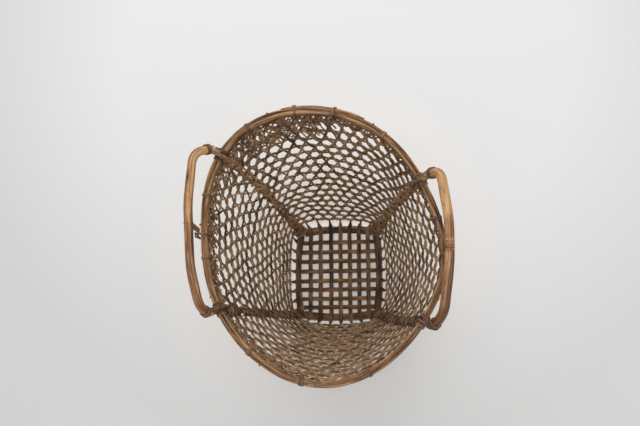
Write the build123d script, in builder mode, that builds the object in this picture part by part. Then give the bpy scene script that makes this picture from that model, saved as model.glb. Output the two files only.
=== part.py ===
from build123d import *
import os
from math import atan2, cos, degrees, pi, radians, sin

# Two-handled openwork carrying basket of split bamboo and cane. Millimetres, +Z towards the mouth.
# The origin is the middle of the base, on the surface the basket stands on. +Y is the long way of
# the mouth, called the back, and the two handles stand at -X (left) and +X (right).

# ---- driving dimensions ----
rim_top = 360.0            # height of the rim's upper edge
rim_mean_radius = 239.6    # outer edge of the rim: a circle of this radius, bent out of round by
rim_bends = ((1, -4.4, 2.5), (2, -17.3, -11.4), (3, 5.2, 1.9), (5, 1.1, -2.2))  # (order, cos, sin)
hoop_depth = 24.0
hoop_thickness = 4.8
wall_thickness = 3.2
wall_bulge = 0.04          # share of the flare by which the wall bellies out half way up
play = 0.3                 # gap left between neighbouring pieces

base_half_x = 95.7         # half sizes of the slatted base, inside the wall
base_half_y = 104.9
base_squareness = 5.0      # exponent of the base's rounded-square outline

slat_x = (-63.0, -40.5, -16.5, 4.5, 25.5, 46.0, 66.5)             # slats that run front to back
slat_y = (-77.5, -58.5, -38.0, -18.5, 3.5, 26.0, 47.0, 69.0)      # slats that run left to right
slat_width = 8.2
slat_thickness = 2.0
slat_wave = 2.1            # how far a slat rises and dips as it passes over and under
slat_swing = 1.2           # a bent slat swings this much past its crossings, as a factor
border_width = 13.0
border_thickness = 1.8
border_bow = 7.5           # how far a border slat bows outwards at its middle
side_border_half = 84.0    # half lengths of the border slats
end_border_half = 76.0

rib_width = 16.0
rib_thickness = 5.0
rib_gap = 1.6              # between a rib and the wall behind it
tongue_width = 10.0        # the thinned end of a handle's rod
tongue_thickness = 3.6
tongue_low = 296.0         # height at which a tongue ends, inside the basket
cane = 3.0                 # diameter of the binding cane
cane_bend = 2.4            # radius of a tight turn of cane

# ---- levels worked out from the sizes above ----
hoop_foot = rim_top - hoop_depth
collar_foot = hoop_foot - 2.0
wall_top = rim_top - 3.0
low_border_level = 0.4
mat_half = slat_wave * slat_swing + slat_thickness / 2
mat_level = low_border_level + border_thickness + play + mat_half
high_border_level = mat_level + mat_half + play
rib_foot = high_border_level + border_thickness + play
rib_head = hoop_foot - 8.0
rim_band = 2 * hoop_thickness + wall_thickness + 2 * play
wall_inset = hoop_thickness + play                 # from the rim's outer edge to the wall
outline_steps = 72


def rim_radius(angle):
    """Outer edge of the rim hoops, from the middle, at an angle in radians."""
    return rim_mean_radius + sum(c * cos(k * angle) + s * sin(k * angle) for k, c, s in rim_bends)


def base_radius(angle):
    """Outline of the slatted base: a square with well rounded corners and slightly bowed sides."""
    along_x = abs(cos(angle) / base_half_x) ** base_squareness
    along_y = abs(sin(angle) / base_half_y) ** base_squareness
    return (along_x + along_y) ** (-1 / base_squareness)


def wall_radius(angle, height, inset=0.0):
    """Outer face of the woven wall at a height, or a face that lies further in by the inset."""
    rise = min(height / collar_foot, 1.0)
    share = rise + wall_bulge * sin(pi * rise)
    foot = base_radius(angle) + 0.5 + wall_thickness
    head = rim_radius(angle) - wall_inset
    return foot + (head - foot) * share - inset


def around(radius_at, start=0.0, stop=360.0, steps=outline_steps):
    """Points at even angles on a curve given by its radius."""
    angles = [radians(start + (stop - start) * i / steps) for i in range(steps + 1)]
    return [(radius_at(a) * cos(a), radius_at(a) * sin(a)) for a in angles]


def closed_curve(radius_at):
    """A smooth closed curve all the way round. Use inside a BuildLine."""
    Spline(*around(radius_at)[:-1], periodic=True)


def rim_frame(angle):
    """Plane at the rim's outer edge: x points straight out of the basket, y points up."""
    step = 0.01
    slope = (rim_radius(angle + step) - rim_radius(angle - step)) / (2 * step)
    outward = angle - atan2(slope, rim_radius(angle))
    edge = (rim_radius(angle) * cos(angle), rim_radius(angle) * sin(angle), 0)
    along_rim = (sin(outward), -cos(outward), 0)
    return Plane(origin=edge, x_dir=(cos(outward), sin(outward), 0), z_dir=along_rim)


os.makedirs("parts", exist_ok=True)
made = []


def keep(builder, name):
    """Label a finished piece and write it."""
    builder.part.label = name
    export_step(builder.part, f"parts/{name}.step")
    made.append(builder.part)


# ---- base: slats woven over and under, two border slats under them and two on top ----
def slat_profile(plane, crossings, reach, first_up):
    """Side view of a slat that passes over and under at the crossings."""
    heights = [slat_wave * (1 if (i % 2 == 0) == first_up else -1) for i in range(len(crossings))]
    middle = [(-reach, 0.0), *zip(crossings, heights), (reach, 0.0)]
    half = slat_thickness / 2
    with BuildSketch(plane) as profile:
        with BuildLine():
            upper = Spline(*[(x, z + half) for x, z in middle], tangents=((1, 0), (1, 0)))
            lower = Spline(*[(x, z - half) for x, z in middle], tangents=((1, 0), (1, 0)))
            Line(upper @ 0, lower @ 0)
            Line(upper @ 1, lower @ 1)
        make_face()
    return profile.sketch


def slat_reach(offset, across, along):
    """Half length of a slat whose edge stays inside the base outline."""
    edge = (abs(offset) + slat_width / 2) / across
    return along * (1 - edge ** base_squareness) ** (1 / base_squareness) - 0.5


for i, y in enumerate(slat_y):
    level = Plane(origin=(0, y, mat_level), x_dir=(1, 0, 0), z_dir=(0, -1, 0))
    with BuildPart() as cross_slat:
        profile = slat_profile(level, slat_x, slat_reach(y, base_half_y, base_half_x), i % 2 == 0)
        extrude(profile, amount=slat_width / 2, both=True)
    keep(cross_slat, f"base_cross_slat_{i + 1}")

for i, x in enumerate(slat_x):
    level = Plane(origin=(x, 0, mat_level), x_dir=(0, 1, 0), z_dir=(1, 0, 0))
    with BuildPart() as long_slat:
        profile = slat_profile(level, slat_y, slat_reach(x, base_half_x, base_half_y), i % 2 == 1)
        extrude(profile, amount=slat_width / 2, both=True)
    keep(long_slat, f"base_long_slat_{i + 1}")


def bowed_outline(half_length, outer, turn, level):
    """A flat border slat, seen from above, whose outer edge bows out to the given distance."""
    inner = outer - border_width
    with BuildSketch(Plane.XY.offset(level).rotated((0, 0, turn))) as outline:
        with BuildLine():
            ThreePointArc((outer - border_bow, -half_length), (outer, 0), (outer - border_bow, half_length))
            Line((outer - border_bow, half_length), (inner - border_bow, half_length))
            ThreePointArc((inner - border_bow, half_length), (inner, 0), (inner - border_bow, -half_length))
            Line((inner - border_bow, -half_length), (outer - border_bow, -half_length))
        make_face()
    return outline.sketch


borders = (
    ("right", side_border_half, base_half_x - 0.6, 0, high_border_level),
    ("back", end_border_half, base_half_y - 0.6, 90, low_border_level),
    ("left", side_border_half, base_half_x - 0.6, 180, high_border_level),
    ("front", end_border_half, base_half_y - 0.6, 270, low_border_level),
)
for side, half_length, outer, turn, level in borders:
    with BuildPart() as border:
        extrude(bowed_outline(half_length, outer, turn, level), amount=border_thickness)
    keep(border, f"base_border_{side}")

# ---- where the handles are tied to the rim, and where the corner ribs run up to ----
corner = degrees(atan2(base_half_y, base_half_x))
posts = {
    "right_back": (30.5, corner),
    "left_back": (138.5, 180 - corner),
    "left_front": (213.2, 180 + corner),
    "right_front": (321.0, 360 - corner),
}  # name: (angle at the rim, angle at the base), in degrees
rim_tie_angles = (10, 59, 84, 101, 122, 157, 187, 237, 262, 290)
lap_start, lap_end = 70.0, 107.0      # stretch of the rim where the outer hoop's end laps over itself
lap_thickness = 4.0
lashing_offsets = (-10.6, -7.0, 7.0, 10.6)         # turns of cane each side of a handle's tongue

# each handle's corners from back to front, the radius of the bend at each, and the middle of its node
handles = {
    "left": {
        "radius": 8.2,
        "corners": ((-229.5, 161, 402), (-231.5, 63, 415), (-222.5, -54, 414), (-208, -119, 400)),
        "bends": (38, 250, 200, 31),
        "node": (-228.9, 25, 414.7),
        "ridges": (0.0,),
    },
    "right": {
        "radius": 8.6,
        "corners": ((217, 109, 402), (228, 15, 415), (225, -57, 415), (213, -140, 400)),
        "bends": (26, 250, 200, 50),
        "node": (226.43, -22.7, 415),
        "ridges": (-6.0, 0.0, 5.0),
    },
}
shoulder_out, shoulder_up = 13.0, 9.0     # end of the round rod, from the rim's top outer edge
ring_distances = (4.7, 8.1, 11.5)         # rings of cane round a rod's end, from the end
sling_forward = 10.0                      # from a handle's node to the loop of cane in front of it
sling_height = 16.0                       # how far that loop rises above the rim
strap_width, strap_thickness = 10.0, 5.0


def sling_angle(side):
    """Angle at which the loop of cane in front of a handle's node goes round the rim."""
    x, y, _ = handles[side]["node"]
    return atan2(y - sling_forward, x)


# ---- woven wall, with slots at its top edge where ties and tongues pass through ----
wall_levels = (0.0, 85.0, 170.0, 255.0, collar_foot)
tie_slot, tongue_slot, slot_height = 4.8, 25.2, 5.0
slots = [(radians(angle), tie_slot) for angle in rim_tie_angles]
slots += [(radians(rim_angle), tongue_slot) for rim_angle, _ in posts.values()]
slots += [(sling_angle(side), tie_slot) for side in handles]


def wall_section(level, inset=0.0):
    """Outline of the wall at a level, or of its inside face."""
    with BuildSketch(Plane.XY.offset(level)) as section:
        with BuildLine():
            closed_curve(lambda a: wall_radius(a, level, inset))
        make_face()
    return section.sketch


with BuildPart() as woven_wall:
    loft([wall_section(level) for level in wall_levels])
    extrude(wall_section(collar_foot), amount=wall_top - collar_foot)
    loft([wall_section(level, wall_thickness) for level in wall_levels], mode=Mode.SUBTRACT)
    inside = wall_section(collar_foot, wall_thickness)
    extrude(inside, amount=wall_top - collar_foot, mode=Mode.SUBTRACT)
    for angle, width in slots:
        frame = rim_frame(angle)
        middle = frame.from_local_coords((-wall_inset - wall_thickness / 2, collar_foot, 0))
        with Locations(Plane(origin=middle, x_dir=frame.x_dir, z_dir=frame.z_dir)):
            Box(3 * wall_thickness, slot_height, width, mode=Mode.SUBTRACT)
keep(woven_wall, "woven_wall")


# ---- rim: two hoops with the top of the wall between them, and the lapped end of the outer hoop ----
def hoop(outer_inset, name):
    """A closed hoop whose outer face lies in from the rim's edge by the inset."""
    with BuildPart() as ring:
        with BuildSketch(Plane.XY.offset(hoop_foot)):
            with BuildLine():
                closed_curve(lambda a: rim_radius(a) - outer_inset)
            make_face()
            with BuildLine():
                closed_curve(lambda a: rim_radius(a) - outer_inset - hoop_thickness)
            make_face(mode=Mode.SUBTRACT)
        extrude(amount=hoop_depth)
    keep(ring, name)


hoop(0.0, "rim_outer_hoop")
hoop(rim_band - hoop_thickness, "rim_inner_hoop")

lap_inside = around(lambda a: rim_radius(a) + play, lap_start, lap_end, 12)
lap_outside = around(lambda a: rim_radius(a) + play + lap_thickness, lap_start + 0.8, lap_end - 0.8, 12)
with BuildPart() as rim_lap:
    with BuildSketch(Plane.XY.offset(hoop_foot + 1.5)):
        with BuildLine():
            near = Spline(*lap_inside)
            far = Spline(*lap_outside)
            Line(near @ 0, far @ 0)
            Line(near @ 1, far @ 1)
        make_face()
    extrude(amount=hoop_depth - 3.0)
keep(rim_lap, "rim_outer_hoop_lap")


# ---- cane turns round the rim band ----
def cane_loop(frame, inner, outer, top, top_bend=cane_bend):
    """A closed turn of cane, from under the hoops up to the given top. Use inside a BuildPart."""
    gap = play + cane / 2
    near, far, foot, head = inner - gap, outer + gap, hoop_foot - gap, top + gap
    bends = [cane_bend, top_bend, top_bend, cane_bend]
    with BuildLine(frame) as turn:
        FilletPolyline((near, foot), (near, head), (far, head), (far, foot), radius=bends, close=True)
    path = turn.wire()
    with BuildSketch(Plane(origin=path @ 0, z_dir=path % 0)) as section:
        Circle(cane / 2)
    sweep(section.sketch, path=path)


def shifted(frame, along):
    """The same frame moved along the rim."""
    return Plane(origin=frame.from_local_coords((0, 0, along)), x_dir=frame.x_dir, z_dir=frame.z_dir)


with BuildPart() as rim_ties:
    for tie_angle in rim_tie_angles:
        on_lap = lap_start < tie_angle < lap_end
        outer = play + lap_thickness if on_lap else 0.0
        cane_loop(rim_frame(radians(tie_angle)), -rim_band, outer, rim_top)
keep(rim_ties, "rim_ties")


# ---- corner ribs: from the base corners up the inside of the wall to under the inner hoop ----
def rib_section(rim_angle, foot_angle, height):
    """Plane of a rib's cross-section: x along the wall, y out of the basket."""
    rise = height / rim_top
    angle = radians(foot_angle + (rim_angle - foot_angle) * rise)
    step = 0.03
    slope = (wall_radius(angle + step, height) - wall_radius(angle - step, height)) / (2 * step)
    outward = angle - atan2(slope, wall_radius(angle, height))
    radius = wall_radius(angle, height, wall_thickness + rib_gap + rib_thickness / 2)
    return Plane(
        origin=(radius * cos(angle), radius * sin(angle), height),
        x_dir=(sin(outward), -cos(outward), 0),
        z_dir=(0, 0, 1),
    )


rib_levels = (rib_foot, 80.0, 160.0, 245.0, rib_head)
for name, (rim_angle, foot_angle) in posts.items():
    with BuildPart() as rib:
        for height in rib_levels:
            with BuildSketch(rib_section(rim_angle, foot_angle, height)):
                RectangleRounded(rib_width, rib_thickness, rib_thickness / 3)
        loft()
    keep(rib, f"corner_rib_{name}")


# ---- handles: a round rod up from the rim, along the grip and down again, with a thin tongue at
#      each end that goes over the rim and down inside the corner rib ----
def shoulder(rim_angle):
    """Middle of a rod's end, just outside and above the rim."""
    return rim_frame(radians(rim_angle)).from_local_coords((shoulder_out, rim_top + shoulder_up, 0))


def tongue(rim_angle):
    """The thinned end of a rod. Use inside a BuildPart."""
    frame = rim_frame(radians(rim_angle))
    angle = radians(rim_angle)
    wall_inside = wall_radius(angle, tongue_low, wall_thickness) - rim_radius(angle)
    beside_rib = wall_inside - rib_gap - rib_thickness - 4.5
    with BuildLine(frame) as bend:
        FilletPolyline(
            (shoulder_out + 1.5, rim_top + shoulder_up + 2.0),
            (-rim_band - 4.5, rim_top + 3.2),
            (beside_rib, tongue_low),
            radius=5.0,
        )
    path = bend.wire()
    with BuildSketch(Plane(origin=path @ 0, x_dir=frame.z_dir, z_dir=path % 0)) as section:
        Rectangle(tongue_width, tongue_thickness)
    sweep(section.sketch, path=path)


for side, rod in handles.items():
    back, front = (shoulder(posts[f"{side}_{end}"][0]) for end in ("back", "front"))
    with BuildPart() as handle:
        with BuildLine() as route:
            FilletPolyline(back, *rod["corners"], front, radius=list(rod["bends"]))
        with BuildSketch(Plane(origin=route.wire() @ 0, z_dir=route.wire() % 0)):
            Circle(rod["radius"])
        sweep(path=route.wire())
        grip = (Vector(*rod["corners"][2]) - Vector(*rod["corners"][1])).normalized()
        for ridge in rod["ridges"]:
            with Locations(Plane(origin=Vector(*rod["node"]) + grip * ridge, z_dir=grip)):
                Torus(rod["radius"] - 0.4, 1.3)
        for end in ("back", "front"):
            tongue(posts[f"{side}_{end}"][0])
    keep(handle, f"{side}_handle")

# ---- lashings: rings of cane round each rod's end, and turns round the rim beside its tongue ----
for side, rod in handles.items():
    for end, corner_point in (("back", rod["corners"][0]), ("front", rod["corners"][-1])):
        rim_angle = posts[f"{side}_{end}"][0]
        place = shoulder(rim_angle)
        up_rod = (Vector(*corner_point) - place).normalized()
        with BuildPart() as lashing:
            for distance in ring_distances:
                with Locations(Plane(origin=place + up_rod * distance, z_dir=up_rod)):
                    Torus(rod["radius"] + play + cane / 2, cane / 2)
            for along in lashing_offsets:
                cane_loop(shifted(rim_frame(radians(rim_angle)), along), -rim_band - 0.6, 0.6, rim_top)
        keep(lashing, f"{side}_handle_lashing_{end}")

# ---- half way along, a strap stands between rim and rod, with a tall loop of cane beside it ----
for side, rod in handles.items():
    frame = rim_frame(sling_angle(side))
    grip = frame.to_local_coords(Vector(*rod["node"]))
    with BuildPart() as sling:
        cane_loop(frame, -rim_band, max(grip.X - 2.0, 2.0), rim_top + sling_height, top_bend=5.0)
    keep(sling, f"{side}_handle_mid_tie")

    spread = rod["radius"] + 1.5
    frame = rim_frame(atan2(rod["node"][1], rod["node"][0]))
    grip = frame.to_local_coords(Vector(*rod["node"]))
    foot = frame.from_local_coords((grip.X - 4.0, rim_top + play, 0))
    with BuildPart() as strap:
        with BuildSketch(Plane(origin=foot, x_dir=frame.x_dir, z_dir=(0, 0, 1))):
            RectangleRounded(strap_thickness, strap_width, 1.2)
        extrude(amount=grip.Y - spread - rim_top - play)
    keep(strap, f"{side}_handle_strap")

whole = Compound(children=made).bounding_box()
print(len(made), "pieces,", "size", [round(v, 1) for v in whole.size])
print("from", [round(v, 1) for v in whole.min], "to", [round(v, 1) for v in whole.max])
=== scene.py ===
import math
import random

import bpy
import numpy as np
from mathutils import Matrix, Vector


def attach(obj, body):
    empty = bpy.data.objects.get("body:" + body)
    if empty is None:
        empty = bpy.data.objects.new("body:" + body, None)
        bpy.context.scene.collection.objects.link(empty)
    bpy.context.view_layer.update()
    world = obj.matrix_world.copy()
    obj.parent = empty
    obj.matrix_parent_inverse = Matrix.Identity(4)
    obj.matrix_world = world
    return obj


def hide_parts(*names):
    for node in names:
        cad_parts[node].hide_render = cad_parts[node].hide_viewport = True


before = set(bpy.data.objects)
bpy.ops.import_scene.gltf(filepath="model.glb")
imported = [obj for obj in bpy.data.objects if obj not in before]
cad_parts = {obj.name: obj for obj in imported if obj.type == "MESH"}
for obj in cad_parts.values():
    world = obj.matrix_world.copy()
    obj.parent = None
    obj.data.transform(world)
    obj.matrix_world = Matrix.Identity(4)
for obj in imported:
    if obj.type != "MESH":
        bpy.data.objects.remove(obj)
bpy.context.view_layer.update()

MM = 0.001
TAU = 2 * math.pi

# ---------------------------------------------------------------- shape of the basket, in millimetres
RIM_TOP = 360.0
RIM_MEAN = 239.6                      # mean radius of the rim's outer edge
RIM_BENDS = ((1, -4.4, 2.5), (2, -17.3, -11.4), (3, 5.2, 1.9), (5, 1.1, -2.2))   # waves, cosine, sine
HOOP_DEPTH = 24.0
HOOP_THICK = 4.8
WALL_THICK = 3.2
WALL_BULGE = 0.04                     # how far the wall bows out, as a share of its flare
PLAY = 0.3
BASE_X, BASE_Y = 95.7, 104.9          # half sizes of the base
BASE_SQUARE = 5.0                     # the higher, the squarer the base
FOOT_OUT = 0.5                        # how far outside the base the wall's inner face starts
HOOP_FOOT = RIM_TOP - HOOP_DEPTH
COLLAR_FOOT = HOOP_FOOT - 2.0         # the wall flares up to here and follows the hoops above
WALL_INSET = HOOP_THICK + PLAY
RIM_BAND = 2 * HOOP_THICK + WALL_THICK + 2 * PLAY
SLAT_X = (-63.0, -40.5, -16.5, 4.5, 25.5, 46.0, 66.5)
SLAT_Y = (-77.5, -58.5, -38.0, -18.5, 3.5, 26.0, 47.0, 69.0)
MAT_LEVEL = 5.9                       # middle of the woven base
CORNER = math.degrees(math.atan2(BASE_Y, BASE_X))
POSTS = {   # corner ribs: (angle at the rim, angle at the base, bow half way up), in degrees
    "right_back": (30.5, CORNER, 0.0),
    "left_back": (138.5, 180 - CORNER, -1.8),
    "left_front": (213.2, 180 + CORNER, -2.2),
    "right_front": (321.0, 360 - CORNER, 0.0),
}
PANELS = {   # the sides of the wall, each between two corner ribs
    "back": ("right_back", "left_back"),
    "left": ("left_back", "left_front"),
    "front": ("left_front", "right_front"),
    "right": ("right_front", "right_back"),
}


# below, a is an angle round the basket in radians, z a height, p points and n the normals there
def rim_radius(a):
    """Radius of the rim's outer edge at an angle."""
    return RIM_MEAN + sum(c * np.cos(k * a) + s * np.sin(k * a) for k, c, s in RIM_BENDS)


def base_radius(a):
    """Radius of the base, a rounded square, at an angle."""
    x = np.abs(np.cos(a) / BASE_X) ** BASE_SQUARE
    y = np.abs(np.sin(a) / BASE_Y) ** BASE_SQUARE
    return (x + y) ** (-1 / BASE_SQUARE)


def wall_radius(a, z, inset=WALL_THICK / 2):
    """Radius of the wall at an inset from its outer face."""
    rise = np.clip(z / COLLAR_FOOT, 0.0, 1.0)
    share = rise + WALL_BULGE * np.sin(np.pi * rise)
    foot = base_radius(a) + FOOT_OUT + WALL_THICK
    head = rim_radius(a) - WALL_INSET
    return foot + (head - foot) * share - inset


def wall_point(a, z, out=0.0):
    """Points on the middle of the wall, pushed outwards along its normal, and the normals."""
    a, z = np.broadcast_arrays(np.asarray(a, float), np.asarray(z, float))
    step = 0.004
    r = wall_radius(a, z)
    p = np.stack((r * np.cos(a), r * np.sin(a), z), -1)
    ra = wall_radius(a + step, z)
    pa = np.stack((ra * np.cos(a + step), ra * np.sin(a + step), z), -1)
    rz = wall_radius(a, z + 1.0)
    pz = np.stack((rz * np.cos(a), rz * np.sin(a), z + 1.0), -1)
    n = np.cross(pa - p, pz - p)
    n /= np.linalg.norm(n, axis=-1, keepdims=True)
    return p + n * np.asarray(out)[..., None], n


# ---------------------------------------------------------------- meshes swept along paths
# cross-sections: half widths across from -1 to 1, and thicknesses through from -0.5 to 0.5
STRIP = ((-1, -.05), (-.72, -.5), (.72, -.5), (1, -.05), (.6, .5), (-.6, .5))
ROUND = tuple((math.cos(TAU * i / 8), math.sin(TAU * i / 8) / 2) for i in range(8))
ROUND_FINE = tuple((math.cos(TAU * i / 24), math.sin(TAU * i / 24) / 2) for i in range(24))
SQUARED = ((-1, -.38), (-.86, -.5), (.86, -.5), (1, -.38), (1, .38), (.86, .5), (-.86, .5), (-1, .38))


class Bundle:
    """Collects swept strips, then makes one mesh object of them."""

    def __init__(self, seed):
        self.verts, self.faces, self.marks = [], [], []
        self.count = 0
        self.random = random.Random(seed)

    def sweep(self, path, normals, width, thick, section=STRIP, closed=False, tone=None):
        """A strip along the path: width across, thick along the normals. Both and the tone may vary."""
        path = np.asarray(path, float)
        n = len(path)
        if closed:
            tangent = np.roll(path, -1, 0) - np.roll(path, 1, 0)
        else:
            tangent = np.gradient(path, axis=0)
        tangent /= np.linalg.norm(tangent, axis=1, keepdims=True) + 1e-9
        normals = np.broadcast_to(np.asarray(normals, float), path.shape)
        normals = normals - tangent * (normals * tangent).sum(1, keepdims=True)
        normals = normals / (np.linalg.norm(normals, axis=1, keepdims=True) + 1e-9)
        side = np.cross(tangent, normals)
        width = np.broadcast_to(np.asarray(width, float), (n,))
        thick = np.broadcast_to(np.asarray(thick, float), (n,))
        m = len(section)
        across = np.array([p[0] for p in section])[None, :] * width[:, None] / 2
        through = np.array([p[1] for p in section])[None, :] * thick[:, None]
        ring = (path[:, None, :] + side[:, None, :] * across[..., None]
                + normals[:, None, :] * through[..., None])
        along = np.concatenate(([0], np.cumsum(np.linalg.norm(np.diff(path, axis=0), axis=1))))
        tone = self.random.random() if tone is None else tone
        mark = np.empty((n, m, 3))
        mark[..., 0] = along[:, None] + 1000 * self.random.random()
        mark[..., 1] = across + through
        mark[..., 2] = tone
        first = self.count
        i = np.arange(n if closed else n - 1)[:, None]
        j = np.arange(m)[None, :]
        i2, j2 = (i + 1) % n, (j + 1) % m
        quads = np.stack((i2 * m + j, i2 * m + j2, i * m + j2, i * m + j), -1) + first
        self.faces.extend(quads.reshape(-1, 4).tolist())
        if not closed:
            self.faces.append(list(range(first, first + m)))
            self.faces.append(list(range(first + (n - 1) * m, first + n * m))[::-1])
        self.verts.append(ring.reshape(-1, 3))
        self.marks.append(mark.reshape(-1, 3))
        self.count += n * m

    def make(self, name, material, replaces=()):
        """One mesh object of all the strips. The attribute "strip" holds along, across and tone."""
        mesh = bpy.data.meshes.new(name)
        verts = np.concatenate(self.verts) * MM
        mesh.from_pydata(verts.tolist(), [], self.faces)
        mark = mesh.attributes.new("strip", "FLOAT_VECTOR", "POINT")
        mark.data.foreach_set("vector", np.concatenate(self.marks).astype(np.float32).ravel())
        mesh.polygons.foreach_set("use_smooth", [True] * len(mesh.polygons))
        mesh.update()
        piece = bpy.data.objects.new(name, mesh)
        bpy.context.scene.collection.objects.link(piece)
        piece.data.materials.append(material)
        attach(piece, "root")
        if replaces:
            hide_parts(*replaces)
        return piece


def smooth_path(points, step=3.0, closed=False):
    """A Catmull-Rom curve through the points, sampled about every step."""
    p = np.asarray(points, float)
    out = []
    n = len(p)
    for i in range(n if closed else n - 1):
        if closed:
            a, b, c, d = p[(i - 1) % n], p[i], p[(i + 1) % n], p[(i + 2) % n]
        else:
            a, b, c, d = p[max(i - 1, 0)], p[i], p[i + 1], p[min(i + 2, n - 1)]
        count = max(2, int(np.linalg.norm(c - b) / step))
        t = np.arange(count)[:, None] / count
        out.append(0.5 * (2 * b + (c - a) * t + (2 * a - 5 * b + 4 * c - d) * t ** 2
                          + (3 * b - a - 3 * c + d) * t ** 3))
    if not closed:
        out.append(p[-1:])
    return np.concatenate(out)


def rounded_path(corners, radii, step=4.0):
    """Straight runs joined by arcs, as a list of points."""
    p = [np.asarray(c, float) for c in corners]
    out = [p[0]]
    for before, here, after, radius in zip(p[:-2], p[1:-1], p[2:], radii):
        u, v = before - here, after - here
        lu, lv = np.linalg.norm(u), np.linalg.norm(v)
        u, v = u / lu, v / lv
        turn = math.pi - math.acos(float(np.clip(u @ v, -1, 1)))
        cut = min(radius * math.tan(turn / 2), 0.48 * lu, 0.48 * lv)
        r = cut / math.tan(turn / 2)
        middle = here + (u + v) / np.linalg.norm(u + v) * math.hypot(cut, r)
        a, b = here + u * cut - middle, here + v * cut - middle
        count = max(3, int(r * turn / step))
        for i in range(count + 1):
            t = i / count
            arc = (a * math.sin((1 - t) * turn) + b * math.sin(t * turn)) / math.sin(turn)
            out.append(middle + arc)
    out.append(p[-1])
    dense = [out[0]]
    for q in out[1:]:
        gap = np.linalg.norm(q - dense[-1])
        if gap < 0.2:
            continue
        start, count = dense[-1], max(1, int(gap / step))
        dense.extend(start + (q - start) * (i + 1) / count for i in range(count))
    return np.array(dense)


WANDER_WAVES = ((1.0, 0.6), (0.57, 0.3), (0.31, 0.2))   # shares of the longest wave and of the amount


def wander(seed, distance, amount, wave):
    """A smooth random offset at each of the given distances."""
    rng = np.random.RandomState(seed)
    total = np.zeros_like(distance, dtype=float)
    for stretch, share in WANDER_WAVES:
        total += np.sin(TAU * distance / (wave * stretch) + rng.uniform(0, TAU)) * share
    return total * amount


# ---------------------------------------------------------------- materials
FIBRE_SHARE = 0.4                     # how much the fine fibres change the tone
LIGHTNESS = 0.22                      # tone of an average strip before its own is added
MIDDLE_STOP = 0.42                    # where the middle colour lies between dark and light
STAIN_SHARE = 0.65


def ramp(nodes, stops):
    """A colour ramp through (place, colour) stops."""
    node = nodes.new("ShaderNodeValToRGB")
    elements = node.color_ramp.elements
    while len(elements) < len(stops):
        elements.new(0.5)
    for element, (place, colour) in zip(elements, stops):
        element.position = place
        element.color = (*colour, 1)
    return node


def bamboo(name, dark, middle, light, stain, rough=0.5, grain=1.2, patch=1.5, bump=0.35, shine=0.42,
           fade=0.0):
    """Split bamboo or cane. Fibres run along each strip, and each strip has its own tone.

    Grain and patch say how much stripes and patches change the tone, and fade how much paler it gets
    with each metre towards the back, where the key lamp stands: that is painted light.
    """
    material = bpy.data.materials.new(name)
    material.use_nodes = True
    nodes, links = material.node_tree.nodes, material.node_tree.links
    shader = nodes["Principled BSDF"]
    strip = nodes.new("ShaderNodeAttribute")
    strip.attribute_name = "strip"
    parts = nodes.new("ShaderNodeSeparateXYZ")
    links.new(strip.outputs["Vector"], parts.inputs[0])

    def stretched(along, across, own):
        node = nodes.new("ShaderNodeVectorMath")
        node.operation = "MULTIPLY"
        node.inputs[1].default_value = (along, across, own)
        links.new(strip.outputs["Vector"], node.inputs[0])
        return node.outputs[0]

    def noise(vector, scale, detail, roughness=0.6):
        node = nodes.new("ShaderNodeTexNoise")
        node.inputs["Scale"].default_value = scale
        node.inputs["Detail"].default_value = detail
        node.inputs["Roughness"].default_value = roughness
        links.new(vector, node.inputs["Vector"])
        return node.outputs["Fac"]

    def maths(kind, a, b, clamp=False):
        node = nodes.new("ShaderNodeMath")
        node.operation = kind
        node.use_clamp = clamp
        for socket, value in zip(node.inputs, (a, b)):
            if isinstance(value, (int, float)):
                socket.default_value = value
            else:
                links.new(value, socket)
        return node.outputs[0]

    def mix(kind, amount, a, b):
        node = nodes.new("ShaderNodeMix")
        node.data_type = "RGBA"
        node.blend_type = kind
        for socket, value in ((node.inputs[0], amount), (node.inputs[6], a), (node.inputs[7], b)):
            if isinstance(value, (int, float)):
                socket.default_value = value
            elif isinstance(value, tuple):
                socket.default_value = (*value, 1)
            else:
                links.new(value, socket)
        return node.outputs[2]

    fibres = noise(stretched(0.022, 2.2, 91.0), 1.0, 5.0, 0.7)
    stripes = noise(stretched(0.012, 0.50, 57.0), 1.0, 3.0, 0.6)
    patches = noise(stretched(0.016, 0.06, 37.0), 1.0, 3.0)
    tone = maths("MULTIPLY", parts.outputs[2], 0.5)
    tone = maths("ADD", tone, maths("MULTIPLY", stripes, grain))
    tone = maths("ADD", tone, maths("MULTIPLY", patches, patch))
    tone = maths("ADD", tone, maths("MULTIPLY", fibres, FIBRE_SHARE))
    # painted light: the tone gets paler towards the back, where the key lamp stands
    if fade:
        place = nodes.new("ShaderNodeTexCoord")
        axes = nodes.new("ShaderNodeSeparateXYZ")
        links.new(place.outputs["Object"], axes.inputs[0])
        tone = maths("ADD", tone, maths("MULTIPLY", axes.outputs[1], fade))
    tone = maths("SUBTRACT", tone, (grain + patch + FIBRE_SHARE) / 2 - LIGHTNESS, clamp=True)
    colours = ramp(nodes, ((0.0, dark), (MIDDLE_STOP, middle), (1.0, light)))
    links.new(tone, colours.inputs[0])
    stains = noise(stretched(0.05, 0.12, 13.0), 1.0, 4.0, 0.65)
    stained = ramp(nodes, ((0.50, (0, 0, 0)), (0.72, (1, 1, 1))))
    links.new(stains, stained.inputs[0])
    amount = maths("MULTIPLY", stained.outputs[0], STAIN_SHARE)
    colour = mix("MIX", amount, colours.outputs[0], stain)
    links.new(colour, shader.inputs["Base Color"])
    sheen = maths("ADD", maths("MULTIPLY", fibres, 0.25), rough - 0.12)
    links.new(sheen, shader.inputs["Roughness"])
    shader.inputs["Specular IOR Level"].default_value = shine
    raised = nodes.new("ShaderNodeBump")
    raised.inputs["Strength"].default_value = bump
    raised.inputs["Distance"].default_value = 0.0006
    links.new(fibres, raised.inputs["Height"])
    links.new(raised.outputs[0], shader.inputs["Normal"])
    return material


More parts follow.
